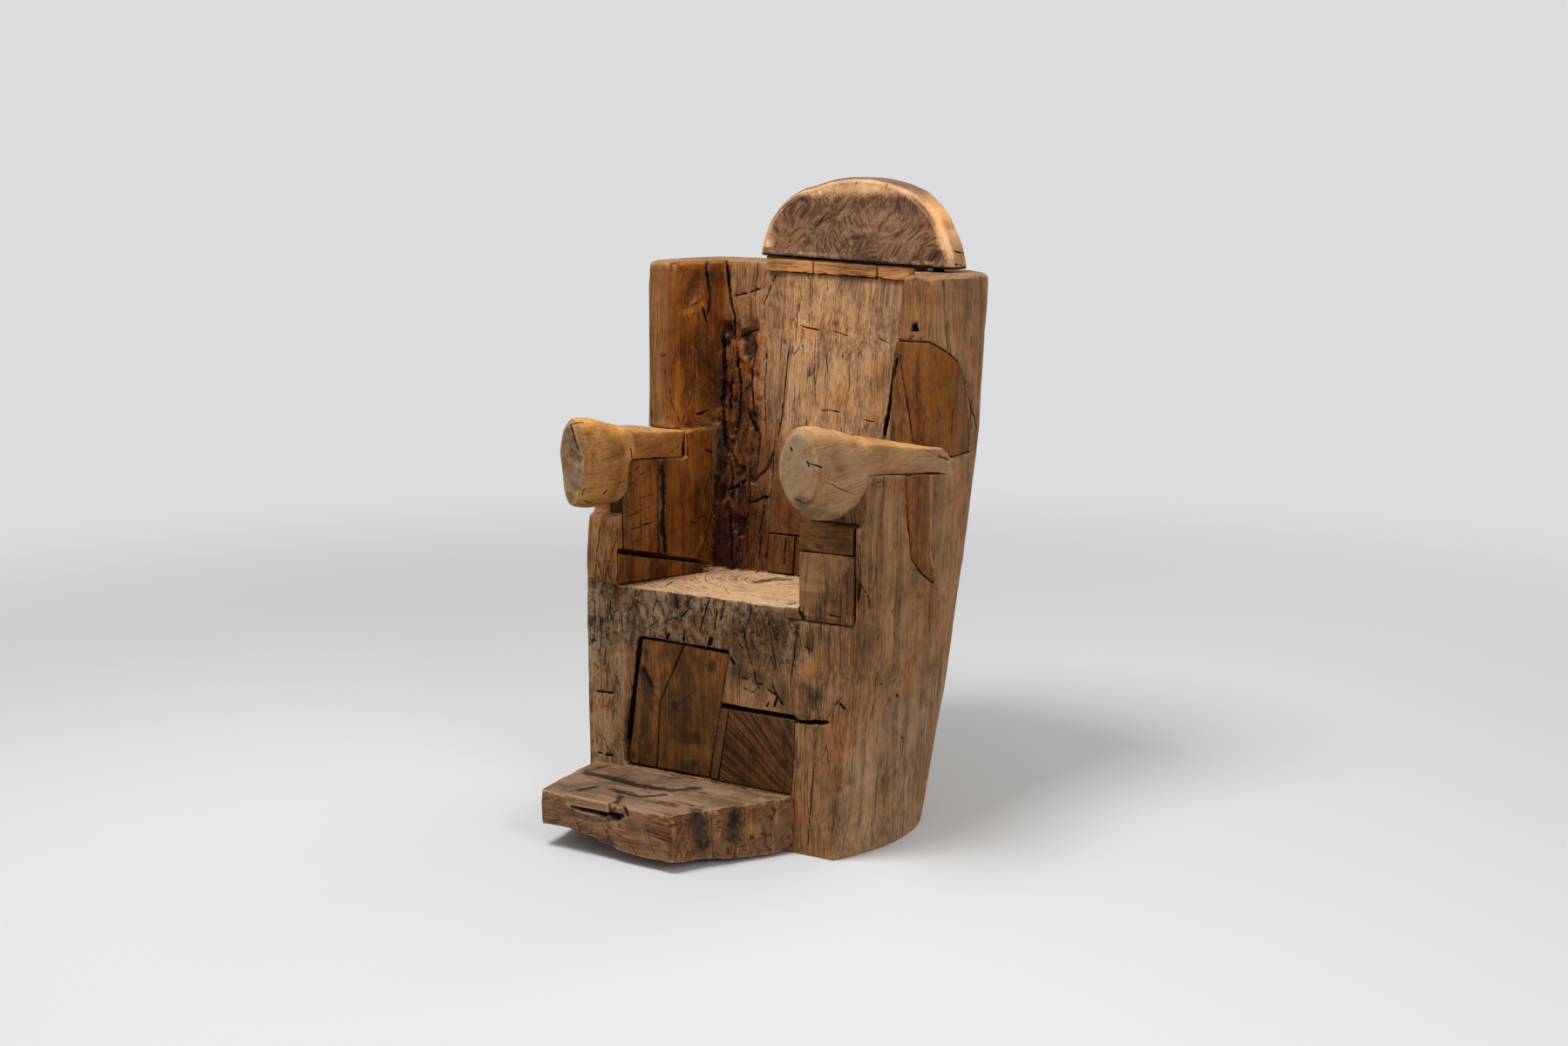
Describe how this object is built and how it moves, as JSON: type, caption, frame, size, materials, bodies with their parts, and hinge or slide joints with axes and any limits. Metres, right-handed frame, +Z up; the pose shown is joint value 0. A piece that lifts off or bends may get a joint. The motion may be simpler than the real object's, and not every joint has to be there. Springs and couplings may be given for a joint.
{
  "type": "throne chair",
  "caption": "Rustic armchair hewn from a standing log, with a rounded headrest, hooked arms, let-in boards and inlays, a small door under the seat and a step in front.",
  "frame": {"origin": "middle of the log's flat foot, on the floor", "axes": "+Z up, the front of the chair and the step look along -Y, +X is on the right of somebody who faces the chair"},
  "size_m": [0.6805, 0.8272, 1.2381],
  "materials": {
    "log_wood": "weathered and waxed brown hardwood with cracks",
    "arm_wood": "hand-worn pale golden hardwood with a grey bloom on the ends",
    "headrest_wood": "grey-brown gouged hardwood with a golden worn rim",
    "door_wood": "dark brown sawn board",
    "block_wood": "brown block with diagonal gouge marks",
    "inlay_wood": "warm orange-brown let-in wood",
    "back_wood": "pale brown let-in board with long grain",
    "strip_wood": "light golden packing wood",
    "step_wood": "worn grey-brown slab with dark stains",
    "peg_wood": "plain split hardwood"
  },
  "bodies": {
    "root": {"trunk": "log_wood", "door_board_left": "door_wood", "door_board_right": "door_wood", "corner_block_strip": "block_wood", "corner_block": "block_wood", "right_post_block": "block_wood", "right_post_cap": "block_wood", "left_wall_board": "inlay_wood", "left_wall_strip": "door_wood", "left_wall_wedge": "inlay_wood", "right_side_inlay": "inlay_wood", "inlay_pins": "door_wood", "right_wing_wedge": "door_wood", "right_wing_inlay": "inlay_wood", "right_wing_sliver": "log_wood", "back_board": "back_wood", "back_patch_left": "back_wood", "back_patch_right": "back_wood", "headrest_strip_left": "strip_wood", "headrest_strip_middle": "strip_wood", "headrest_strip_right": "strip_wood", "headrest": "headrest_wood", "headrest_dowels": "peg_wood", "left_arm": "arm_wood", "left_arm_pegs": "peg_wood", "right_arm": "arm_wood", "right_arm_pegs": "peg_wood", "step_patch": "step_wood", "step": "step_wood", "step_tenons": "peg_wood"}
  },
  "joints": []
}
